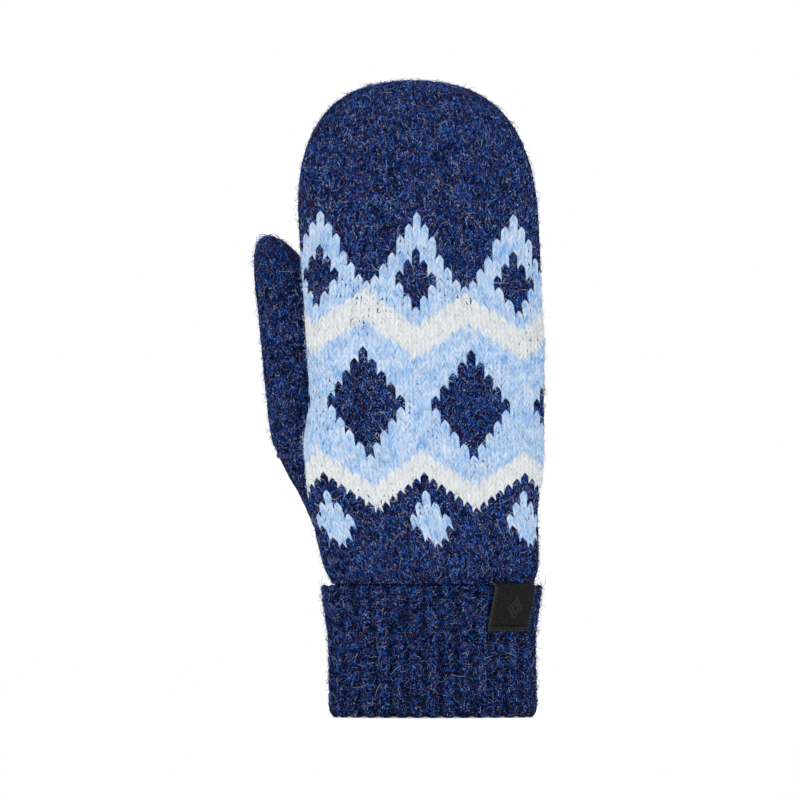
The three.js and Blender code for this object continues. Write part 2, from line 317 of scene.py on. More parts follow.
def stitch_relief(rows, columns, seed):
    """Height of the knit's surface from 0 in the gaps to about 1 on the legs."""
    own = np.random.default_rng(seed)
    across = np.abs(across_wale(columns))[None, :]
    along = ((np.arange(rows) % PER_COURSE) / PER_COURSE)[:, None]
    middle = 0.6 - 0.2 * along
    leg = np.sqrt(np.clip(1 - ((across - middle) / 0.62) ** 2, 0, 1))
    leg = np.where(across == 0, np.maximum(leg, 0.55), leg)
    fold = 1 - 0.38 * np.abs(2 * along - 1) ** 2.4
    size = own.normal(1, 0.09, (rows // PER_COURSE + 1, columns // (PER_WALE // 2)))
    size = np.repeat(np.repeat(size, PER_COURSE, 0)[:rows], PER_WALE // 2, 1)
    return leg * fold * size + own.normal(0, 0.035, (rows, columns))


# ---- Meshes ----
def build(name, vertices, faces, smooth=True):
    """A mesh object from vertices in millimetres and arrays of faces, one for each count of corners."""
    sizes = np.concatenate([np.full(len(f), f.shape[1]) for f in faces])
    corners = np.concatenate([np.asarray(f).ravel() for f in faces])
    mesh = bpy.data.meshes.new(name)
    mesh.vertices.add(len(vertices))
    placed = (np.asarray(vertices, float) + (CENTRING_SHIFT, 0, 0)) * MM
    mesh.vertices.foreach_set("co", placed.astype(np.float32).ravel())
    mesh.loops.add(len(corners))
    mesh.loops.foreach_set("vertex_index", corners.astype(np.int32))
    mesh.polygons.add(len(sizes))
    starts = np.concatenate([[0], np.cumsum(sizes)[:-1]])
    mesh.polygons.foreach_set("loop_start", starts.astype(np.int32))
    mesh.polygons.foreach_set("use_smooth", np.full(len(sizes), smooth))
    mesh.update(calc_edges=True)
    obj = bpy.data.objects.new(name, mesh)
    bpy.context.scene.collection.objects.link(obj)
    return obj


def grid_quads(rows, columns, start=0, wrap_rows=False):
    """Faces of a grid of vertices that closes round its columns, facing away from its axis."""
    upper = rows if wrap_rows else rows - 1
    row, column = np.meshgrid(np.arange(upper), np.arange(columns), indexing="ij")
    above, after = (row + 1) % rows, (column + 1) % columns
    corners = [row * columns + column, row * columns + after,
               above * columns + after, above * columns + column]
    return start + np.stack(corners, -1).reshape(-1, 4)


def grid_uv(rows, columns, wide, high, low=0.0):
    """Coordinates of the corners of a grid of faces that spans wide across and high up from low."""
    row, column = np.meshgrid(np.arange(rows), np.arange(columns), indexing="ij")
    across = np.stack([column, column + 1, column + 1, column], -1) * (wide / columns)
    upward = low + np.stack([row, row, row + 1, row + 1], -1) * (high / rows)
    return np.stack([across, upward], -1).reshape(-1, 2)


def add_uv(obj, name, *parts, rest=(0.5, 0.999)):
    """A coordinate layer of the mesh, from its first corners on. The rest share one place."""
    values = np.concatenate([np.asarray(part, float).reshape(-1, 2) for part in parts])
    flat = np.tile(np.asarray(rest, np.float32), (len(obj.data.loops), 1))
    flat[: len(values)] = values
    layer = obj.data.uv_layers.new(name=name)
    layer.data.foreach_set("uv", flat.ravel())


def add_attribute(obj, name, values, kind="FLOAT"):
    """A number or a colour at each vertex, from the first vertex on. The rest are zero."""
    size = 4 if kind == "FLOAT_COLOR" else 1
    flat = np.zeros(len(obj.data.vertices) * size, np.float32)
    flat[: values.size] = values.ravel()
    attribute = obj.data.attributes.new(name, kind, "POINT")
    attribute.data.foreach_set("color" if size == 4 else "value", flat)


def fan(ring, centre):
    """Triangles from a ring of vertices to one vertex above them."""
    return np.stack([ring, np.roll(ring, -1), np.full(len(ring), centre)], -1)


def tubes(paths, radii, sides, seed):
    """Vertices and faces of closed tubes along paths, which are n lists of k points."""
    count, steps = paths.shape[:2]
    tangent = np.gradient(paths, axis=1)
    tangent /= np.linalg.norm(tangent, axis=2, keepdims=True)
    any_way = np.random.default_rng(seed).normal(size=(count, 1, 3))
    side = np.cross(tangent, any_way)
    side /= np.linalg.norm(side, axis=2, keepdims=True)
    up = np.cross(tangent, side)
    angle = (2 * np.pi * np.arange(sides) / sides)[:, None]
    ring = np.cos(angle) * side[:, :, None, :] + np.sin(angle) * up[:, :, None, :]
    vertices = paths[:, :, None, :] + np.broadcast_to(radii, (count, steps))[..., None, None] * ring
    first = np.arange(count)[:, None, None] * (steps * sides)
    quads = (first + grid_quads(steps, sides)[None]).reshape(-1, 4)
    ends = np.stack([np.arange(sides)[::-1], (steps - 1) * sides + np.arange(sides)])
    return vertices.reshape(-1, 3), quads, (first + ends[None]).reshape(-1, sides)


def threads(name, paths, radii, sides, seed, span, material):
    """A piece made of closed tubes. span is the size of each one's coordinates, round it and along."""
    points, quads, ends = tubes(paths, radii, sides, seed)
    obj = build(name, points, [quads, ends])
    count, steps = paths.shape[:2]
    one = grid_uv(steps - 1, sides, *span)
    shift = np.repeat(np.arange(count), len(one))[:, None] * (1.7, 0.9)
    add_uv(obj, "Surface", np.tile(one, (count, 1)) + shift)
    obj.data.materials.append(material)
    return obj


def slab(name, top, bottom):
    """A closed sheet between two grids of points, with its top facing outwards."""
    rows, columns = top.shape[:2]
    row, column = np.meshgrid(np.arange(rows - 1), np.arange(columns - 1), indexing="ij")
    low = row * columns + column
    upper = np.stack([low, low + 1, low + columns + 1, low + columns], -1).reshape(-1, 4)
    under = upper[:, ::-1] + rows * columns
    grid = np.arange(rows * columns).reshape(rows, columns)
    border = np.concatenate([grid[0], grid[1:, -1], grid[-1, -2::-1], grid[-2:0:-1, 0]])
    after = np.roll(border, -1)
    edge = np.stack([border + rows * columns, after + rows * columns, after, border], -1)
    points = np.concatenate([top.reshape(-1, 3), bottom.reshape(-1, 3)])
    return build(name, points, [upper, under, edge])


def slab_uv(rows, columns, wide, high):
    """Coordinates of the corners of a slab's top and bottom faces."""
    top = grid_uv(rows - 1, columns - 1, wide, high).reshape(-1, 4, 2)
    return np.concatenate([top, top[:, ::-1]]).reshape(-1, 2)


# ---- Materials ----
class Graph:
    """A material's nodes, added one call at a time."""

    def __init__(self, name):
        self.material = bpy.data.materials.new(name)
        self.material.use_nodes = True
        self.tree = self.material.node_tree
        self.shader = self.tree.nodes["Principled BSDF"]

    def add(self, kind, inputs=None, **settings):
        made = self.tree.nodes.new("ShaderNode" + kind)
        for key, value in settings.items():
            setattr(made, key, value)
        for key, value in (inputs or {}).items():
            self.put(made.inputs[key], value)
        return made

    def put(self, socket, value):
        """Links a socket to another, or sets its own value. A colour is given without its alpha."""
        if isinstance(value, bpy.types.NodeSocket):
            self.tree.links.new(value, socket)
        elif socket.type == "RGBA":
            socket.default_value = (*value, 1)
        else:
            socket.default_value = value

    def uv(self, name):
        return self.add("UVMap", uv_map=name).outputs["UV"]

    def attribute(self, name):
        return self.add("Attribute", attribute_name=name).outputs["Fac"]

    def math(self, operation, *values):
        return self.add("Math", dict(enumerate(values)), operation=operation).outputs[0]

    def vector(self, operation, *values):
        return self.add("VectorMath", dict(enumerate(values)), operation=operation).outputs["Vector"]

    def ramp(self, factor, stops, interpolation="LINEAR"):
        made = self.add("ValToRGB", {"Fac": factor})
        made.color_ramp.interpolation = interpolation
        elements = made.color_ramp.elements
        while len(elements) < len(stops):
            elements.new(0.5)
        for element, (place, colour) in zip(elements, stops):
            element.position = place
            element.color = (*colour, 1)
        return made.outputs["Color"]

    def mix(self, factor, first, second, blend="MIX"):
        made = self.add("Mix", data_type="RGBA", blend_type=blend)
        self.put(made.inputs["Factor"], factor)
        self.put(made.inputs[6], first)
        self.put(made.inputs[7], second)
        return made.outputs[2]

    def range(self, value, low, high, to_low=0.0, to_high=1.0):
        inputs = {"Value": value, "From Min": low, "From Max": high,
                  "To Min": to_low, "To Max": to_high}
        return self.add("MapRange", inputs, interpolation_type="SMOOTHSTEP").outputs[0]


def linear(red, green, blue):
    """A colour given as display values from 0 to 255, as the shader's linear values."""
    return tuple(
        v / 12.92 if v <= 0.04045 else ((v + 0.055) / 1.055) ** 2.4
        for v in (red / 255, green / 255, blue / 255)
    )


def fibre_strokes(graph, place, cell, width, seed, straight=0.0):
    """One short curved fibre in each cell of the surface: how much of it shows, and a number of its own.

    place is in millimetres on the surface. straight near 1 keeps the fibres along its Y.
    """
    moved = graph.vector("ADD", place, (seed * 3.7, seed * 5.3, 0))
    moved = graph.vector("SCALE", moved)
    moved.node.inputs["Scale"].default_value = 1 / cell
    cells = graph.add("TexVoronoi", {"Vector": moved, "Scale": 1.0}, voronoi_dimensions="2D")
    offset = graph.vector("SUBTRACT", moved, cells.outputs["Position"])
    own = graph.add("SeparateColor", {"Color": cells.outputs["Color"]}).outputs
    angle = graph.math("MULTIPLY_ADD", own[0], math.pi * (1 - straight), -math.pi / 2 * (1 - straight))
    turned = graph.add(
        "VectorRotate", {"Vector": offset, "Angle": angle}, rotation_type="Z_AXIS"
    ).outputs[0]
    parts = graph.add("SeparateXYZ", {"Vector": turned}).outputs
    bend = graph.math("SUBTRACT", own[2], 0.5)
    curve = graph.math("MULTIPLY", graph.math("MULTIPLY", parts[1], parts[1]), bend)
    across = graph.math("ABSOLUTE", graph.math("MULTIPLY_ADD", curve, 1.6, parts[0]))
    shown = graph.range(across, width * 0.35 / cell, width / cell, 1.0, 0.0)
    return shown, own[1]


def finish_shader(graph, colour, height, distance, roughness=0.95, specular=0.03, sheen=None):
    """Ends a material: its colour, its bumps of a depth in metres, and the shader's own constants."""
    bump = graph.add("Bump", {"Height": height, "Strength": 0.9, "Distance": distance})
    graph.put(graph.shader.inputs["Base Color"], colour)
    graph.put(graph.shader.inputs["Normal"], bump.outputs[0])
    graph.shader.inputs["Roughness"].default_value = roughness
    graph.shader.inputs["Specular IOR Level"].default_value = specular
    if sheen:
        graph.shader.inputs["Sheen Weight"].default_value = sheen[0]
        graph.shader.inputs["Sheen Roughness"].default_value = 0.6
        graph.shader.inputs["Sheen Tint"].default_value = (*sheen[1], 1)
    return graph.material


def times(graph, colour, factor):
    """A colour made lighter or darker by a number."""
    grey = graph.add("CombineColor", {0: factor, 1: factor, 2: factor}).outputs[0]
    return graph.mix(1.0, colour, grey, "MULTIPLY")


def noise_at(graph, place, scale, detail=2.0, roughness=0.5):
    inputs = {"Vector": place, "Scale": scale, "Detail": detail, "Roughness": roughness}
    return graph.add("TexNoise", inputs).outputs[0]


def painted_gap_shade(graph, amount):
    """How much painted shade darkens a gap between stitches, where real shade would fall."""
    gap = graph.attribute("gap")
    return graph.math("MULTIPLY", gap, amount)


NAVY_FIBRES = [
    (0.0, linear(2, 5, 12)),
    (0.36, linear(12, 32, 74)),
    (0.52, linear(28, 68, 148)),
    (0.66, linear(58, 116, 216)),
    (0.77, linear(84, 44, 62)),
    (0.86, linear(104, 112, 166)),
    (0.94, linear(156, 170, 196)),
]
# Cell and half width, in millimetres, of each layer of fibres
NAVY_LAYERS = [(1.8, 0.27), (1.5, 0.24), (1.3, 0.21), (2.2, 0.22), (1.2, 0.2), (1.6, 0.17)]
PALE_LAYERS = [(2.3, 0.3), (1.8, 0.25)]


def heather_yarn(name, depth, furrows=0.4):
    """Felted navy wool of many-coloured fibres that lie all ways. depth scales its brightness: the
    darker copies for the thumb and the cuff carry painted shade. furrows is the strength of the painted
    shade in the gaps between stitches.
    """
    graph = Graph(name)
    surface = graph.uv("Surface")
    mottle = noise_at(graph, surface, 0.8, 4.0, 0.7)
    colour = graph.ramp(mottle, [
        (0.4, linear(2, 5, 12)), (0.5, linear(10, 24, 60)), (0.62, linear(32, 62, 130)),
    ])
    height = graph.math("MULTIPLY", mottle, 0.6)
    for i, (cell, width) in enumerate(NAVY_LAYERS):
        shown, own = fibre_strokes(graph, surface, cell, width, i + 1)
        picked = graph.ramp(own, NAVY_FIBRES, "CONSTANT")
        colour = graph.mix(graph.math("MULTIPLY", shown, 0.9), colour, picked)
        height = graph.math("MULTIPLY_ADD", shown, 0.5, height)
    # Painted shade in the gaps between stitches
    colour = graph.mix(painted_gap_shade(graph, furrows), colour, linear(3, 6, 16))
    specks = graph.range(noise_at(graph, surface, 1.9, 1.0), 0.36, 0.62, 0.12, 1.6)
    colour = times(graph, colour, specks)
    drift = noise_at(graph, surface, 0.09)
    # depth darkens the whole colour: painted shade in the thumb's and the cuff's copies
    colour = times(graph, colour, graph.range(drift, 0.3, 0.7, 0.85 * depth, 1.15 * depth))
    return finish_shader(graph, colour, height, 0.0004)


def pale_yarn():
    """Light blue yarn that turns off-white where the attribute "white" says so."""
    graph = Graph("pale_wool")
    surface = graph.uv("Surface")
    stitch = graph.add("SeparateXYZ", {"Vector": graph.uv("Stitch")})
    left = graph.math("LESS_THAN", graph.math("FRACT", stitch.outputs[0]), 0.5)
    lean = graph.math("MULTIPLY_ADD", left, 0.9, -0.45)
    legs = graph.add(
        "VectorRotate", {"Vector": surface, "Angle": lean}, rotation_type="Z_AXIS"
    ).outputs[0]
    streaks = noise_at(graph, graph.vector("MULTIPLY", legs, (1.5, 0.42, 1)), 0.9, 4.0, 0.65)
    patches = noise_at(graph, surface, 0.13, 3.0, 0.6)
    tone = graph.math("MULTIPLY_ADD", patches, -0.55, graph.math("ADD", streaks, 0.3))
    blue = graph.ramp(tone, [
        (0.37, linear(88, 146, 210)), (0.46, linear(150, 183, 220)),
        (0.56, linear(186, 203, 222)), (0.68, linear(204, 214, 226)),
    ])
    white = graph.ramp(streaks, [(0.35, linear(202, 206, 208)), (0.6, linear(217, 219, 219))])
    height = graph.math("MULTIPLY", streaks, 0.9)
    for i, (cell, width) in enumerate(PALE_LAYERS):
        shown, own = fibre_strokes(graph, legs, cell, width, i + 9, 0.8)
        strand = graph.ramp(own, [
            (0.0, linear(192, 206, 223)), (0.4, linear(104, 160, 222)), (0.7, linear(160, 190, 222)),
        ], "CONSTANT")
        blue = graph.mix(graph.math("MULTIPLY", shown, 0.42), blue, strand)
        height = graph.math("MULTIPLY_ADD", shown, 0.4, height)
    whiteness = graph.attribute("white")
    ragged = graph.math("MULTIPLY_ADD", graph.math("SUBTRACT", streaks, 0.5), 1.1, whiteness)
    colour = graph.mix(graph.range(ragged, 0.12, 0.72), blue, white)
    # Painted shade in the gaps between stitches: bluer on the light blue yarn, greyer on the white
    shade = graph.mix(whiteness, linear(104, 138, 188), linear(170, 180, 190))
    colour = graph.mix(painted_gap_shade(graph, 0.5), colour, shade)
    peeping = graph.math(
        "MULTIPLY",
        graph.range(noise_at(graph, surface, 0.045, 1.0), 0.53, 0.62),
        graph.range(noise_at(graph, graph.vector("MULTIPLY", surface, (1, 0.35, 1)), 0.8), 0.52, 0.6),
    )
    hollow = graph.range(graph.attribute("gap"), 0.16, 0.34)
    colour = graph.mix(graph.math("MULTIPLY", peeping, hollow), colour, linear(40, 58, 104))
    return finish_shader(graph, colour, height, 0.0003)


def fuzz_material():
    """Loose fibres, each in a colour of its own."""
    graph = Graph("loose_fibres")
    tint = graph.add("Attribute", attribute_name="tint").outputs["Color"]
    graph.put(graph.shader.inputs["Base Color"], tint)
    graph.shader.inputs["Roughness"].default_value = 0.8
    graph.shader.inputs["Specular IOR Level"].default_value = 0.05
    return graph.material


def leather_material():
    """Matte black imitation leather with a fine pebbled grain, a little lighter along its edges and its
    pressed lines.
    """
    graph = Graph("black_leather")
    surface = graph.uv("Surface")
    pebbles = graph.add("TexVoronoi", {"Vector": surface, "Scale": 1.5}, feature="SMOOTH_F1")
    mottle = noise_at(graph, surface, 1.1, 3.0, 0.6)
    colour = graph.ramp(mottle, [(0.35, linear(8, 8, 8)), (0.65, linear(28, 28, 28))])
    lighter_edges_and_lines = graph.attribute("lighter_edges_and_lines")
    # Lighter along the tab's edges and its pressed lines
    colour = graph.mix(graph.math("MULTIPLY", lighter_edges_and_lines, 0.8), colour, linear(58, 57, 56))
    height = graph.math("MULTIPLY_ADD", pebbles.outputs["Distance"], 0.8, mottle)
    return finish_shader(graph, colour, height, 0.0003, roughness=0.5, specular=0.06)


def thread_material(name, colour):
    """Twisted thread: fine slanted plies along a tube, with painted shade between the plies."""
    graph = Graph(name)
    surface = graph.uv("Surface")
    parts = graph.add("SeparateXYZ", {"Vector": surface}).outputs
    twist = graph.math("MULTIPLY_ADD", parts[0], 5.0, graph.math("MULTIPLY", parts[1], 9.0))
    plies = graph.math("MULTIPLY_ADD", graph.math("SINE", twist), 0.5, 0.5)
    shade = graph.math("MULTIPLY_ADD", noise_at(graph, surface, 2.0), 0.5, 0.75)
    # Darker between the plies: painted shade
    tone = graph.mix(plies, linear(*(v * 0.55 for v in colour)), linear(*colour))
    return finish_shader(graph, times(graph, tone, shade), plies, 0.0001, 0.75, 0.3)


def fleece_material():
    """Dark brushed fleece, in small soft tufts."""
    graph = Graph("dark_fleece")
    place = graph.add("TexCoord").outputs["Object"]
    tufts = noise_at(graph, place, 420.0, 4.0, 0.7)
    drift = noise_at(graph, place, 60.0)
    colour = graph.ramp(tufts, [
        (0.35, linear(16, 18, 23)), (0.55, linear(36, 40, 49)), (0.72, linear(60, 66, 78)),
    ])
    colour = times(graph, colour, graph.math("MULTIPLY_ADD", drift, 0.5, 0.75))
    return finish_shader(graph, colour, tufts, 0.0008, 1.0, 0.1, (0.25, linear(120, 128, 145)))


def woven_tape_material():
    """White satin tape with a fine warp and weft."""
    graph = Graph("woven_tape")
    surface = graph.uv("Surface")
    parts = graph.add("SeparateXYZ", {"Vector": surface}).outputs
    warp = graph.math("SINE", graph.math("MULTIPLY", parts[0], 26.0))
    weft = graph.math("SINE", graph.math("MULTIPLY", parts[1], 18.0))
    cloth = graph.math("MULTIPLY_ADD", graph.math("MULTIPLY", warp, weft), 0.5, 0.5)
    colour = graph.mix(cloth, linear(196, 197, 196), linear(228, 228, 225))
    colour = times(graph, colour, graph.math("MULTIPLY_ADD", noise_at(graph, surface, 0.3), 0.2, 0.9))
    return finish_shader(graph, colour, cloth, 0.00006, 0.5, 0.4)


KNIT_NAVY = heather_yarn("navy_wool", 0.89)
# Darker copies of the same navy wool: painted shade on the thumb, behind the hand, and on the lower
# cuff, whose furrows also get stronger painted shade
THUMB_NAVY_PAINTED_SHADE = heather_yarn("navy_thumb_painted_shade", 0.77)
RIB_NAVY_PAINTED_SHADE = heather_yarn("navy_rib_painted_shade", 0.62, 1.2)
PALE = pale_yarn()
LOOSE_FIBRES = fuzz_material()
YARNS = [KNIT_NAVY, PALE]
NAVY, LIGHT, WHITE = range(3)


# ---- The colour pattern ----
REPEAT = 12  # wales
PLAIN_COURSES = 6  # between the cuff and the pattern's lowest row
# Courses that each motif spans in a wale, counted in wales from the motif's middle
LOWER_DIAMOND = [(1, 10), (2, 8), (4, 6)]
LARGE_DIAMOND = [(16, 34), (18, 32), (20, 30), (22, 28), (24, 26)]
UPPER_DIAMOND = [(41, 51), (43, 49), (45, 47)]
PALE_TOPS = [57, 55, 53, 50, 48, 46, 45]


def within(spans, wale, course):
    """Whether each stitch is inside a motif, wale counting from its middle."""
    inside = np.zeros(np.broadcast(wale, course).shape, bool)
    for beside, (low, high) in enumerate(spans):
        inside |= (wale == beside) & (course >= low) & (course < high)
    return inside


def chart(wale, course):
    """Which yarn each stitch is knitted in. Wale 0 runs up the middle of the back of the hand."""
    column = np.abs((wale + REPEAT // 2) % REPEAT - REPEAT // 2)
    row = course - PLAIN_COURSES
    colour = np.where(within(LOWER_DIAMOND, column, row), LIGHT, NAVY)
    band = (row >= 13 - column) & (row < np.array(PALE_TOPS)[column])
    colour = np.where(band, LIGHT, colour)
    colour = np.where(band & (row < 17 - column), WHITE, colour)
    colour = np.where((row >= 33 + column) & (row < 38 + column), WHITE, colour)
    colour = np.where(within(LARGE_DIAMOND, REPEAT // 2 - column, row), NAVY, colour)
    return np.where(within(UPPER_DIAMOND, column, row), NAVY, colour)


# ---- Knitted pieces ----
def knit_surface(points, widths, sag, relief, seed):
    """Vertices of a knitted surface over its base points, their normals, and where its gaps are."""
    rows, columns = points.shape[:2]
    bumps = stitch_relief(rows, columns, seed)
    drop = stitch_drop(sag)
    points, widths = sheared(points, drop), sheared(widths, drop)
    normals = normals_of(points)
    lift = relief * widths * (bumps - 0.7)
    return points + normals * lift[..., None], normals, np.clip(1 - bumps, 0, 1) ** 1.5


def closed_bag(name, base, wales, courses, relief, seed, capped, materials):
    """A knitted bag or tube with a thick wall: the stitched outside and a plain inside.

    capped closes it at its top. An open tube's rims are closed by one face to each wale.
    """
    points, widths, sag = base
    outer, normals, gap = knit_surface(points, widths, sag, relief, seed)
    rows, columns = outer.shape[:2]
    inner_rows = np.unique(np.append(np.arange(0, rows, 2 * PER_COURSE), rows - 1))
    if capped:
        inner_rows = inner_rows[inner_rows < rows - 2 * PER_COURSE]
    inside = (points - normals_of(points) * KNIT_WALL)[inner_rows][:, ::PER_WALE]
    start = rows * columns
    vertices = [outer.reshape(-1, 3), inside.reshape(-1, 3)]
    faces = [grid_quads(rows, columns), grid_quads(len(inner_rows), wales, start)[:, ::-1]]

    def rim(outer_row, inner_row):
        """One face to each wale between the outside's end row and the inside's, facing up."""
        wale = np.arange(wales)[:, None]
        out = outer_row * columns + (wale * PER_WALE + np.arange(PER_WALE + 1)) % columns
        into = start + inner_row * wales + np.hstack([(wale + 1) % wales, wale])
        return np.hstack([out, into])

    faces.append(rim(0, 0)[:, ::-1])
    if capped:
        tips = [outer[-1].mean(0), inside[-1].mean(0) + (0, 0, 1.0)]
        vertices.append(np.array(tips))
        tip = start + inside.shape[0] * wales
        faces.append(fan((rows - 1) * columns + np.arange(columns), tip))
        last = start + (len(inner_rows) - 1) * wales + np.arange(wales)
        faces.append(fan(last, tip + 1)[:, ::-1])
    else:
        faces.append(rim(rows - 1, len(inner_rows) - 1))
    obj = build(name, np.concatenate(vertices), faces)
    wide, high = wales * WALE, courses * COURSE
    coarse = (len(inner_rows) - 1, wales)
    add_uv(obj, "Surface", grid_uv(rows - 1, columns, wide, high), grid_uv(*coarse, wide, high))
    add_uv(obj, "Stitch", grid_uv(rows - 1, columns, wales, courses))
    add_uv(obj, "OFBake", grid_uv(rows - 1, columns, 1, 0.92), grid_uv(*coarse, 1, 0.06, 0.935))
    add_attribute(obj, "gap", gap)
    for material in materials:
        obj.data.materials.append(material)
    return obj, outer, normals


def stands_for(obj, node, body=None):
    """Hides the CAD node that a piece replaces, and attaches the piece to the body that it rides on, if
    one.
    """
    if body:
        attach(obj, body)
    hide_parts(node)


def blurred(values, times_over):
    """A grid of numbers that closes round its columns, each averaged with its neighbours."""
    for _ in range(times_over):
        values = (np.roll(values, 1, 1) + np.roll(values, -1, 1) + 2 * values) / 4
        above, below = np.vstack([values[1:], values[-1:]]), np.vstack([values[:1], values[:-1]])
        values = (above + below + 2 * values) / 4
    return values


def make_hand():
    """The knitted hand, with its pattern. Returns its surface and the yarn at each vertex."""
    rows, columns = HAND_COURSES * PER_COURSE + 1, WALES * PER_WALE
    row, column = np.meshgrid(np.arange(rows), np.arange(columns), indexing="ij")
    yarns = chart(column // PER_WALE, row // PER_COURSE)
    relief = np.where(yarns == NAVY, NAVY_RELIEF, PALE_RELIEF)
    obj, outer, normals = closed_bag(
        "hand_knit", hand_grid(rows, columns), WALES, HAND_COURSES, relief, 21, True, YARNS
    )
    faces = np.zeros(len(obj.data.polygons), np.int32)
    faces[: (rows - 1) * columns] = (yarns[:-1] != NAVY).ravel()
    obj.data.polygons.foreach_set("material_index", faces)
    add_attribute(obj, "white", blurred((yarns == WHITE).astype(float), 9))
    stands_for(obj, "hand_shell", "hand")
    return outer, normals, yarns


def bend_at_the_thumb(obj):
    """Bakes the placement of a piece of the thumb into its mesh."""
    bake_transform(obj)


def make_thumb():
    """The thumb's gusset below its seam and the thumb above. Returns the thumb's outer surface."""
    below, courses = thumb_courses()
    columns = THUMB_WALES * PER_WALE
    gusset_base = thumb_grid(below * PER_COURSE + 1, columns, 0, below * COURSE)
    gusset = closed_bag(
        "thumb_gusset_knit", gusset_base, THUMB_WALES, below, NAVY_RELIEF, 22, False, [THUMB_NAVY_PAINTED_SHADE]
    )[0]
    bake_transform(gusset)
    above = courses - below
    thumb_base = thumb_grid(above * PER_COURSE + 1, columns, below * COURSE, courses * COURSE)
    thumb, outer, normals = closed_bag(
        "thumb_knit", thumb_base, THUMB_WALES, above, NAVY_RELIEF, 23, True, [THUMB_NAVY_PAINTED_SHADE]
    )
    bend_at_the_thumb(thumb)
    stands_for(thumb, "thumb_shell")
    return outer, normals


def make_seam_stitches(name, low, high, outwards, radius, bulge, material):
    """Slanted stitches that each run from a point of one ring to the next point of another."""
    share = np.linspace(0, 1, 7)[None, :, None]
    paths = low[:, None, :] * (1 - share) + np.roll(high, -1, 0)[:, None, :] * share
    paths = paths + outwards[:, None, :] * (bulge * np.sin(np.pi * share))
    radii = radius * (0.55 + 0.45 * np.sin(np.pi * share[..., 0]))
    return threads(name, paths, radii, 8, 5, (2 * np.pi * radius, 3), material)


def thumb_seam():
    """The row of stitches where the thumb is picked up from its gusset."""
    reach = SEAM_HEIGHT - THUMB_ROOT
    points = thumb_grid(3, 2 * THUMB_WALES, reach - 0.9, reach + 0.9)[0]
    normals = normals_of(points)
    obj = make_seam_stitches(
        "thumb_seam_stitches", points[0], points[2], normals[1], 0.75, 0.25,
        thread_material("navy_seam_yarn", (46, 66, 122)),
    )
    stands_for(obj, "thumb_join_seam", "thumb_root")


def lining_seam():
    """The stitches that sew the lining's lower edge to the inside of the cuff."""
    count = 96
    centre, width, thick = section_at(HAND_SECTIONS, SEAM_LEVEL)
    depth = KNIT_WALL + 0.95
    x, y = oval_points(width, thick, FLATNESS, np.arange(count) / count)
    outwards = np.stack([x, y, np.zeros(count)], -1)
    ring = np.stack([
        centre + (width - depth) * x, MIDPLANE_Y + (thick - depth) * y, np.full(count, SEAM_LEVEL)
    ], -1)
    rise = np.array([0, 0, 0.75])
    obj = make_seam_stitches(
        "lining_seam_stitches", ring - rise, ring + rise, -outwards, 0.45, 0.3,
        thread_material("dark_thread", (38, 42, 54)),
    )
    stands_for(obj, "lining_join_seam", "hand")


# ---- The ribbed cuff ----
RIB_COLUMNS = 6  # vertices across half a rib
RIB_STEP = 0.75  # height of a row of them
RIB_RELIEF = 1.0
FOOT = 5.2  # height of the round foot of the fold


def resampled(outline, step):
    """Points at even distances along a closed outline, and how far along it each one is."""
    loop = np.array(list(outline) + [outline[0]], float)
    length = np.concatenate([[0], np.cumsum(np.linalg.norm(np.diff(loop, axis=0), axis=1))])
    along = np.linspace(0, length[-1], round(length[-1] / step), endpoint=False)
    return np.stack([np.interp(along, length, loop[:, k]) for k in range(2)], -1), along


def arc(centre, radii, start, end, count=9):
    angle = np.radians(np.linspace(start, end, count))
    return [(centre[0] + radii[0] * math.cos(a), centre[1] + radii[1] * math.sin(a)) for a in angle]


def rib_bumps(along, columns, seed):
    """Height of 1x1 rib from 0 in its furrows to 1 on its ridges, with stitches down each ridge."""
    own = np.random.default_rng(seed)
    turn = np.arange(columns) / (2 * RIB_COLUMNS)
    ridge = (0.5 + 0.5 * np.cos(2 * np.pi * turn)) ** 0.8
    lean = 0.5 * np.abs((turn * 2) % 1 - 0.5)
    stitches = 0.5 + 0.5 * np.cos(2 * np.pi * (along[:, None] / COURSE + lean[None, :]))
    bumps = 0.68 * ridge[None, :] + 0.2 * stitches * (0.4 + 0.6 * ridge[None, :])
    return bumps + own.normal(0, 0.045, bumps.shape)


def ribbed_ring(name, sections, outline, relief_at, seed):
    """A closed ring of rib: an outline of (depth from the outside, height) carried round the cuff."""
    profile, along = resampled(outline, RIB_STEP)
    columns = HALF_RIBS * RIB_COLUMNS
    bumps = rib_bumps(along, columns, seed)
    ahead, behind = np.roll(profile, -1, 0), np.roll(profile, 1, 0)
    run = ahead - behind
    facing = np.stack([-run[:, 1], run[:, 0]], -1) / np.linalg.norm(run, axis=1, keepdims=True)
    lift = (bumps - 0.85) * relief_at(profile)[:, None]
    depth = profile[:, :1] + lift * facing[:, :1]
    height = profile[:, 1:] + lift * facing[:, 1:]
    points = np.zeros((len(profile), columns, 3))
    share = np.arange(columns) / columns
    for i, z in enumerate(profile[:, 1]):
        centre, width, thick = section_at(sections, z)
        x, y = oval_points(width, thick, FLATNESS, share)
        points[i, :, 0] = centre + (width - depth[i]) * x
        points[i, :, 1] = MIDPLANE_Y + (thick - depth[i]) * y
    points[..., 2] = height
    rows = len(profile)
    obj = build(name, points.reshape(-1, 3), [grid_quads(rows, columns, wrap_rows=True)])
    add_uv(obj, "Surface", grid_uv(rows, columns, HALF_RIBS * WALE, along[-1]))
    add_uv(obj, "OFBake", grid_uv(rows, columns, 1, 0.995))
    add_attribute(obj, "gap", np.clip(0.6 - bumps, 0, 1) ** 1.2)
    obj.data.materials.append(RIB_NAVY_PAINTED_SHADE)
    return obj, points


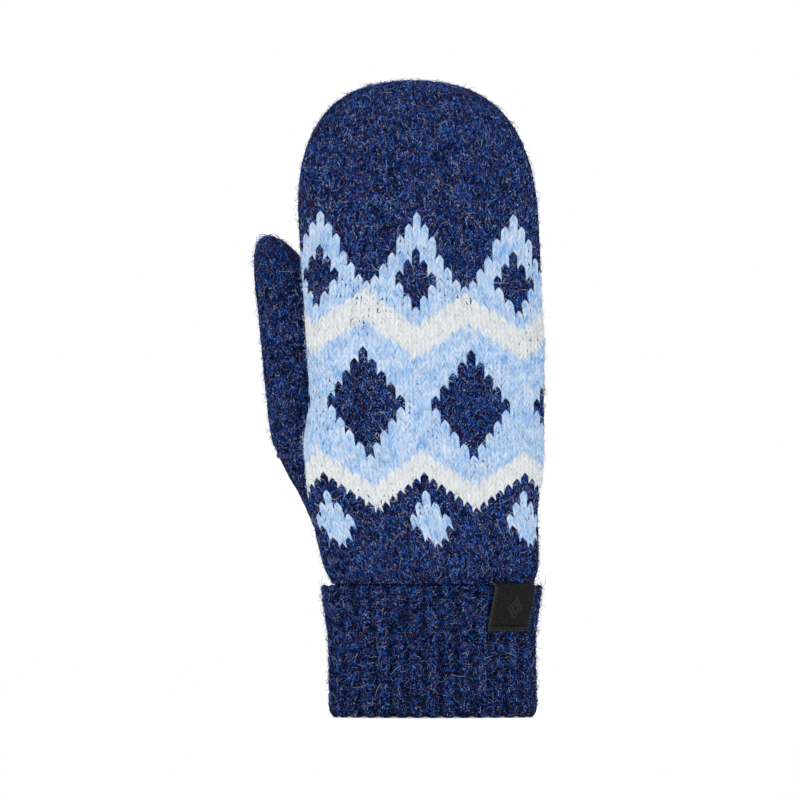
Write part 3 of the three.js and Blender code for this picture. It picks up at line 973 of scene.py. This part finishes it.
def make_cuff():
    """Both layers of the cuff. Returns the turned-up layer's outside."""
    round_at = CUFF_TOP - EDGE_RADIUS
    fold = CUFF_WALL  # half the width of the fold that the mitten stands on
    outline = [(0, FOOT)]
    outline += arc((EDGE_RADIUS, round_at), (EDGE_RADIUS, EDGE_RADIUS), 180, 0)
    outline += [(CUFF_WALL, FOLD_HEIGHT)]
    outline += arc((2 * fold - 1, FOLD_HEIGHT - 0.6), (0.9, 0.6), 90, 0, 4)
    outline += arc((fold, FOOT), (fold, FOOT), 0, -180, 17)[1:-1]

    def relief_at(profile):
        inner = np.clip(1 - (profile[:, 0] - EDGE_RADIUS) / EDGE_RADIUS, 0.2, 1)
        return RIB_RELIEF * np.where(profile[:, 1] < FOOT, 0.8, inner)

    outer, points = ribbed_ring("cuff_rib_outer", CUFF_SECTIONS, outline, relief_at, 31)
    stands_for(outer, "cuff_turn_up", "cuff")

    low, high = FOLD_HEIGHT + CLEARANCE, FIRST_COURSE + 0.5
    wall = KNIT_WALL
    outline = [(0.4, low + 1), (0.05, low + 3), (0.05, high - 3), (0.5, high - 0.6), (1.4, high)]
    outline += [(wall - 0.6, high - 0.2), (wall, high - 1.2)]
    outline += [(wall, low + 1), (wall - 0.8, low), (1.2, low)]
    inner, _ = ribbed_ring(
        "cuff_rib_inner", HAND_SECTIONS, outline, lambda profile: np.full(len(profile), 0.6), 32
    )
    stands_for(inner, "cuff_inner_layer", "hand")
    return points


# ---- The lining and the care label ----
FLEECE_VOXEL = 1.2
FLEECE_TUFTS = 0.22  # height of the tufts either way


def make_lining(name, node, fleece):
    """A cut and sewn piece of fleece: the CAD solid with soft edges and a tufted surface."""
    rough = bpy.data.objects.new(name, bpy.data.objects[node].data.copy())
    bpy.context.scene.collection.objects.link(rough)
    welded = bmesh.new()
    welded.from_mesh(rough.data)
    bmesh.ops.remove_doubles(welded, verts=welded.verts, dist=0.001 * MM)
    welded.to_mesh(rough.data)
    welded.free()
    remesh = rough.modifiers.new("remesh", "REMESH")
    remesh.mode = "VOXEL"
    remesh.voxel_size = FLEECE_VOXEL * MM
    relax = rough.modifiers.new("relax", "SMOOTH")
    relax.iterations = 3
    evaluated = rough.evaluated_get(bpy.context.evaluated_depsgraph_get())
    mesh = bpy.data.meshes.new_from_object(evaluated)
    rough.modifiers.clear()
    rough.data = mesh
    mesh.materials.clear()
    mesh.materials.append(fleece)
    places, normals = np.zeros((2, len(mesh.vertices) * 3), np.float32)
    mesh.vertices.foreach_get("co", places)
    mesh.vertices.foreach_get("normal", normals)
    places, normals = places.reshape(-1, 3), normals.reshape(-1, 3)
    coarse = np.array([noise.noise(Vector(p)) for p in places / (2.2 * MM)])
    fine = np.array([noise.noise(Vector(p)) for p in places / (1.1 * MM)])
    places = places + normals * ((coarse + 0.5 * fine) * FLEECE_TUFTS * MM)[:, None]
    mesh.vertices.foreach_set("co", places.astype(np.float32).ravel())
    mesh.update()
    mesh.polygons.foreach_set("use_smooth", np.full(len(mesh.polygons), True))
    stands_for(rough, node)
    return rough


def make_care_label():
    """A blank woven tape, sewn in by its top edge and hanging with a slight curl."""
    width, length = CARE_SIZE
    rows, columns = 49, 25
    down, across = np.meshgrid(np.linspace(1, 0, rows), np.linspace(-1, 1, columns), indexing="ij")
    z = CARE_TOP - length * down
    centre, half, _ = section_at(HAND_SECTIONS, z)
    bow = 1.2 * across ** 2 + 0.25 * down * np.sin(7 * down + 2 * across)
    x = centre + half - (KNIT_WALL + CARE_GAP + bow)
    y = MIDPLANE_Y + across * width / 2
    inner = np.stack([x - CARE_THICK / 2, y, z], -1)
    outer = np.stack([x + CARE_THICK / 2, y, z], -1)
    obj = slab("care_label_tape", outer, inner)
    add_uv(obj, "Surface", slab_uv(rows, columns, width, length))
    obj.data.materials.append(woven_tape_material())
    stands_for(obj, "care_label", "hand")


# ---- The label tab ----
LABEL_OVER = math.pi * (EDGE_RADIUS + LABEL_THICK / 2)  # length of the tab's bend over the edge


def label_points(u, lift, along):
    """Points of the label at u across, -1 to 1, lift off the cuff and along from its lower edge."""
    leg_top = CUFF_TOP - EDGE_RADIUS
    past = along - LABEL_OUTER_LEG
    bend = np.pi * np.clip(past / LABEL_OVER, 0, 1)
    below = np.maximum(LABEL_OUTER_LEG - along, 0) + np.maximum(past - LABEL_OVER, 0)
    grow = (EDGE_RADIUS + lift) * np.cos(bend) - EDGE_RADIUS
    z = leg_top + (EDGE_RADIUS + lift) * np.sin(bend) - below
    lean = LABEL_LEAN * np.maximum(leg_top - z, 0) / LABEL_OUTER_LEG
    angle = -np.radians(LABEL_ANGLE + lean + LABEL_HALF_ANGLE * u)
    centre, width, thick = section_at(CUFF_SECTIONS, z)
    x, y = np.cos(angle), np.sin(angle)
    x = np.sign(x) * np.abs(x) ** (2 / FLATNESS)
    y = np.sign(y) * np.abs(y) ** (2 / FLATNESS)
    return np.stack([centre + (width + grow) * x, MIDPLANE_Y + (thick + grow) * y, z], -1)


def groove(distance, width):
    """1 in the middle of a pressed line and 0 past its width."""
    return np.exp(-(distance / width) ** 2)


def make_label():
    """The folded tab: pebbled, with a turned lower hem, a pressed line over it and a plain lozenge."""
    length = LABEL_OUTER_LEG + LABEL_OVER + LABEL_INNER_LEG
    rows, columns = 221, 161
    along, u = np.meshgrid(
        np.linspace(LABEL_START, length, rows), np.linspace(-1, 1, columns), indexing="ij"
    )
    side = LABEL_HALF * (1 - np.abs(u))
    end = np.minimum(along - LABEL_START, length - along)
    near = np.minimum(side, end)
    rounding = np.sqrt(np.clip(1 - np.clip(1 - near / 0.35, 0, 1) ** 2, 0, 1))
    face = LABEL_THICK * (0.35 + 0.65 * rounding)
    lozenge = np.abs(u * LABEL_HALF) / LOZENGE_SIZE[0] + np.abs(along - LOZENGE_HEIGHT) / LOZENGE_SIZE[1]
    pressed = groove((lozenge - 1) * 2.5, 0.3) + groove((lozenge - 0.5) * 2.5, 0.3)
    drop = 0.35 * pressed
    drop = drop + 0.3 * groove(along - LABEL_START - LABEL_HEM, 0.2)
    swell = 0.3 * (along < LABEL_START + LABEL_HEM)
    grain = np.random.default_rng(41).normal(0, 0.012, u.shape)
    top = label_points(u, CLEARANCE + face - drop + swell + grain, along)
    bottom = label_points(u, np.full(u.shape, CLEARANCE), along)
    obj = slab("label_leather", top, bottom)
    add_uv(obj, "Surface", slab_uv(rows, columns, 2 * LABEL_HALF, length))
    add_uv(obj, "OFBake", slab_uv(rows, columns, 0.96, 0.96))
    # Where the leather is lighter: along its edges and its pressed lines
    add_attribute(obj, "lighter_edges_and_lines", np.clip(np.exp(-near / 0.35) + 0.8 * pressed, 0, 1))
    obj.data.materials.append(leather_material())
    stands_for(obj, "label_tab", "cuff")


def make_label_stitches():
    """A row of separate stitches across the tab's hem, whose ends go down into the leather."""
    count, steps = 11, 9
    step = 1.84 / count
    start = -0.92 + step * np.arange(count)
    share = np.linspace(0, 1, steps)
    u = start[:, None] + step * (0.12 + 0.76 * share[None, :])
    arch = np.sin(np.pi * share) ** 0.5
    lift = CLEARANCE + LABEL_THICK + 0.1 + 0.42 * np.broadcast_to(arch, u.shape)
    paths = label_points(u, lift, LABEL_START + STITCH_HEIGHT - 0.3 + np.zeros_like(u))
    radii = THREAD_THICK / 2 * (0.6 + 0.4 * arch)[None, :]
    material = thread_material("black_thread", (44, 43, 42))
    obj = threads("label_stitches", paths, radii, 10, 6, (1.6, 1.7), material)
    stands_for(obj, "label_stitching", "cuff")


# ---- Loose fibres ----
NAVY_HAIRS = [
    (58, 112, 212), (28, 66, 140), (16, 34, 76), (88, 46, 68),
    (100, 108, 162), (150, 164, 188), (2, 5, 12),
]
NAVY_ODDS = [0.16, 0.22, 0.2, 0.12, 0.09, 0.04, 0.17]
PALE_HAIRS = [(188, 204, 224), (128, 170, 222), (206, 214, 222)]
WHITE_HAIRS = [(212, 216, 217), (204, 210, 216), (222, 224, 222)]
CURL_COLOUR = (146, 152, 156)
FIBRE_STEPS = 5
FIBRE_SIDES = 3
FIBRE_RADIUS = 0.1
LOWEST_FIBRE = 0.15  # above the floor
LABEL_MARGIN = 3  # by which fibres keep away from the label tab
FIBRES_UP_TO = 52  # from the cuff's foot


def clear_of_label(points):
    """Which points are far enough from the label tab for a fibre to start there."""
    around, up = np.meshgrid(np.linspace(-1, 1, 9), np.linspace(LABEL_START, 24, 9))
    covered = label_points(around, np.full(around.shape, 0.5), up).reshape(-1, 3)
    apart = np.linalg.norm(points[:, None, :] - covered[None], axis=2).min(1)
    return apart > LABEL_MARGIN


def fibre_paths(root, normal, is_curl, own):
    """Points of each fibre, which starts in the wool, arches over it and lies back."""
    total = len(root)
    way = own.normal(size=(total, 3))
    way -= normal * (way * normal).sum(1, keepdims=True)
    way /= np.linalg.norm(way, axis=1, keepdims=True)
    sideways = np.cross(normal, way)
    long_reach = own.uniform(4, 8, total)
    reach = np.where(is_curl, long_reach, 0.6 + own.gamma(2.4, 0.75, total).clip(0, 6))
    low_stand = own.uniform(0.3, 0.8, total)
    stand = np.where(is_curl, low_stand, own.gamma(1.5, 0.33, total).clip(0.1, 1.9))
    swerve = own.normal(0, 0.35, total) * reach
    share = np.linspace(0, 1, FIBRE_STEPS)[None, :, None]
    arch = np.sin(share * np.pi * own.uniform(0.45, 0.85, total)[:, None, None])
    paths = (
        root[:, None, :] - 0.2 * normal[:, None, :]
        + way[:, None, :] * reach[:, None, None] * share
        + sideways[:, None, :] * swerve[:, None, None] * share ** 2
        + normal[:, None, :] * (stand[:, None, None] * arch + 0.1)
    )
    paths[..., 2] = np.maximum(paths[..., 2], LOWEST_FIBRE)
    return paths


def fibre_tints(yarn_here, is_curl, own):
    """A colour for each fibre, from the yarn that it stands in."""
    palettes = NAVY_HAIRS, PALE_HAIRS, WHITE_HAIRS
    navy, light, white = (np.array([linear(*colour) for colour in hairs]) for hairs in palettes)
    tints = navy[own.choice(len(NAVY_HAIRS), len(yarn_here), p=NAVY_ODDS)]
    pale = own.integers(0, 3, len(yarn_here))
    tints = np.where((yarn_here == LIGHT)[:, None], light[pale], tints)
    tints = np.where((yarn_here == WHITE)[:, None], white[pale], tints)
    tints = np.where((is_curl & (yarn_here == NAVY))[:, None], linear(*CURL_COLOUR), tints)
    return np.hstack([tints, np.ones((len(tints), 1))])


def fibre_cells(total):
    """Coordinates for all faces of each fibre: a small square of its own."""
    side = math.ceil(math.sqrt(total))
    cell = np.stack([np.arange(total) % side, np.arange(total) // side], -1) / side
    square = np.array([(0.2, 0.2), (0.8, 0.2), (0.8, 0.8), (0.2, 0.8)]) / side
    long_faces = (FIBRE_STEPS - 1) * FIBRE_SIDES
    quads = np.repeat(cell, long_faces, 0)[:, None, :] + square[None]
    ends = np.repeat(cell, 2, 0)[:, None, :] + square[None, :FIBRE_SIDES]
    return quads, ends


def loose_fibres(name, surface, yarns, count, curls, seed):
    """Fine fibres over a surface, its points and normals, and a few long pale curls, the last of them.

    yarns is the yarn at each point, or the one yarn of the whole surface.
    """
    own = np.random.default_rng(seed)
    yarns = np.broadcast_to(yarns, surface[0].shape[:2])
    points, normals = (grid.reshape(-1, 3) for grid in surface)
    pick = own.integers(0, len(points), count + curls)
    pick = pick[clear_of_label(points[pick])]
    total = len(pick)
    is_curl = np.arange(total) >= total - curls
    paths = fibre_paths(points[pick], normals[pick], is_curl, own)
    along = np.linspace(0, 1, FIBRE_STEPS)[None, :]
    radii = FIBRE_RADIUS * (1 - 0.5 * along) * np.where(is_curl, 1.1, 1)[:, None]
    vertices, quads, ends = tubes(paths, radii, FIBRE_SIDES, seed + 1)
    obj = build(name, vertices, [quads, ends])
    tints = fibre_tints(yarns.ravel()[pick], is_curl, own)
    add_attribute(obj, "tint", np.repeat(tints, FIBRE_STEPS * FIBRE_SIDES, 0), "FLOAT_COLOR")
    add_uv(obj, "OFBake", *fibre_cells(total))
    obj.data.materials.append(LOOSE_FIBRES)
    return obj


# ---- The mitten ----
def make_mitten():
    outer, normals, yarns = make_hand()
    thumb_surface = make_thumb()
    thumb_seam()
    cuff_points = make_cuff()
    fleece = fleece_material()
    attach(make_lining("lining_back_fleece", "lining_back_panel", fleece), "hand")
    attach(make_lining("lining_palm_fleece", "lining_palm_panel", fleece), "hand")
    bend_at_the_thumb(make_lining("lining_thumb_fleece", "thumb_lining", fleece))
    lining_seam()
    make_care_label()
    make_label()
    make_label_stitches()

    hand_fuzz = loose_fibres("hand_loose_fibres", (outer, normals), yarns, 13000, 60, 51)
    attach(hand_fuzz, "hand")
    outside = cuff_points[: round(FIBRES_UP_TO / RIB_STEP)]
    cuff_fuzz = loose_fibres("cuff_loose_fibres", (outside, normals_of(outside)), NAVY, 5200, 24, 52)
    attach(cuff_fuzz, "cuff")
    thumb_fuzz = loose_fibres("thumb_loose_fibres", thumb_surface, NAVY, 2600, 20, 53)
    bend_at_the_thumb(thumb_fuzz)


make_mitten()

# ---- Stage, light and camera ----
VIEW_HEIGHT = 340.0  # of the picture, at the object
VIEW_CENTRE = (0.43, 134.7)
VIEW_DISTANCE = 5.0  # metres, as are the light's sizes
KEY_PLACE = (-0.25, -1.5, 1.5)
KEY_TARGET = (0, 0, 0.14)
KEY_SIZE = 1.0
KEY_POWER = 17
FLOOR_RADIUS = 450


def make_stage():
    """A pale round floor, and an even white surrounding."""
    segments = 96
    angle = np.linspace(0, 2 * np.pi, segments, endpoint=False)
    rim = np.stack([np.cos(angle), np.sin(angle), np.zeros(segments)], -1) * FLOOR_RADIUS
    floor = build("floor", rim, [np.arange(segments)[None, :]], smooth=False)
    paint = Graph("floor_paint")
    paint.shader.inputs["Base Color"].default_value = (0.9, 0.9, 0.9, 1)
    paint.shader.inputs["Roughness"].default_value = 0.9
    paint.shader.inputs["Emission Color"].default_value = (1, 1, 1, 1)
    paint.shader.inputs["Emission Strength"].default_value = 0.35
    floor.data.materials.append(paint.material)
    world = bpy.data.worlds.new("studio")
    bpy.context.scene.world = world
    world.use_nodes = True
    surroundings = world.node_tree.nodes["Background"].inputs
    surroundings["Color"].default_value = (1, 1, 1, 1)
    surroundings["Strength"].default_value = 1.0
    bpy.context.scene.view_settings.view_transform = "Standard"


def make_key_light():
    lamp = bpy.data.lights.new("key", "AREA")
    lamp.size = KEY_SIZE
    lamp.energy = KEY_POWER
    obj = bpy.data.objects.new("key", lamp)
    bpy.context.scene.collection.objects.link(obj)
    obj.location = KEY_PLACE
    target = np.array(KEY_TARGET) - np.array(KEY_PLACE)
    obj.rotation_euler = Vector(target).to_track_quat("-Z", "Y").to_euler()


def make_camera():
    camera = bpy.data.cameras.new("camera")
    camera.sensor_width = 36
    camera.lens = 36 * VIEW_DISTANCE / (VIEW_HEIGHT * MM)
    camera.clip_end = 50
    obj = bpy.data.objects.new("camera", camera)
    bpy.context.scene.collection.objects.link(obj)
    obj.location = (VIEW_CENTRE[0] * MM, -VIEW_DISTANCE, VIEW_CENTRE[1] * MM)
    obj.rotation_euler = (math.pi / 2, 0, 0)
    bpy.context.scene.camera = obj


make_stage()
make_key_light()
make_camera()
